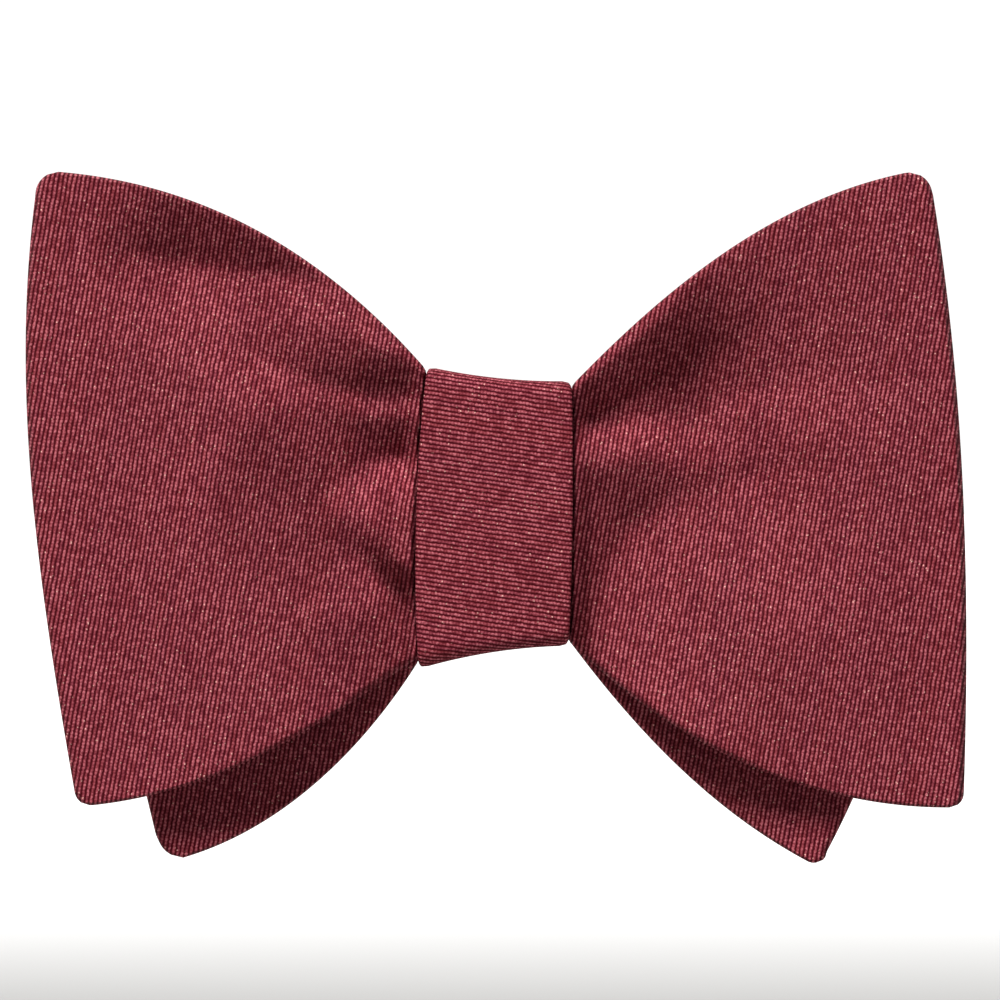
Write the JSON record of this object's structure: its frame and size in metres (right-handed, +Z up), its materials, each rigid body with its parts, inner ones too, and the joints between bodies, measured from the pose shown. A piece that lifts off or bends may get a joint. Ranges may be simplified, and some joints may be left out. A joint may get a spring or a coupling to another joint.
{
  "type": "bow tie",
  "caption": "Pre-tied butterfly bow tie in ribbed burgundy silk, front and back bows held by a wrapped knot, on an adjustable neckband with slider, hook and eye.",
  "frame": {"origin": "middle of the knot's flat back face, which sits on the collar", "axes": "+X to the right seen from the front, +Y from the bow back towards the neck, +Z up as worn"},
  "size_m": [0.1226, 0.1495, 0.09],
  "materials": {
    "silk": "fine ribbed silk, soft sheen",
    "interlining": "plain woven canvas, matt",
    "thread": "twisted sewing thread",
    "label_tape": "woven satin tape, blank",
    "nickel": "nickel-plated steel, satin"
  },
  "bodies": {
    "bow": {"knot_wrap": "silk", "knot_interlining": "interlining", "front_bow_waist": "silk", "back_bow_waist": "silk", "neckband_centre": "silk"},
    "left_wing": {"front_left_face": "silk", "front_left_interlining": "interlining", "front_left_back": "silk", "back_left_face": "silk", "back_left_interlining": "interlining", "back_left_back": "silk"},
    "right_wing": {"front_right_face": "silk", "front_right_interlining": "interlining", "front_right_back": "silk", "back_right_face": "silk", "back_right_interlining": "interlining", "back_right_back": "silk"},
    "left_band": {"band_left": "silk", "band_left_interlining": "interlining", "eye_fold": "silk", "eye_fold_tack": "thread", "neck_label": "label_tape"},
    "right_band": {"band_right": "silk", "band_right_interlining": "interlining", "hook_return": "silk"},
    "slider": {"slider_frame": "nickel", "slider_fold": "silk", "slider_fold_tack": "thread"},
    "hook": {"band_hook": "nickel"},
    "eye": {"band_eye": "nickel"}
  },
  "joints": [
    {"name": "left_wing_flex", "type": "hinge", "parent": "bow", "child": "left_wing", "pos_m": [-0.0102, -0.0181, 0], "axis": [0, 0, 1], "range_deg": [-2, 18], "stiffness_Nm_per_rad": 0.01},
    {"name": "right_wing_flex", "type": "hinge", "parent": "bow", "child": "right_wing", "pos_m": [0.0102, -0.0181, 0], "axis": [0, 0, -1], "range_deg": [-2, 18], "stiffness_Nm_per_rad": 0.01},
    {"name": "left_band_swing", "type": "hinge", "parent": "bow", "child": "left_band", "pos_m": [-0.0108, -0.0033, 0], "axis": [0, 0, 1], "range_deg": [0, 20]},
    {"name": "right_band_swing", "type": "hinge", "parent": "bow", "child": "right_band", "pos_m": [0.0108, -0.0033, 0], "axis": [0, 0, -1], "range_deg": [0, 20]},
    {"name": "slider_adjust", "type": "slide", "parent": "right_band", "child": "slider", "axis": [0, 1, 0], "range_m": [-0.017, 0.008]},
    {"name": "hook_swing", "type": "hinge", "parent": "right_band", "child": "hook", "pos_m": [0.00958, 0.12718, 0], "axis": [0, 0, 1], "range_deg": [-45, 45]},
    {"name": "eye_swing", "type": "hinge", "parent": "left_band", "child": "eye", "pos_m": [-0.00958, 0.12718, 0], "axis": [0, 0, 1], "range_deg": [-45, 45]}
  ]
}
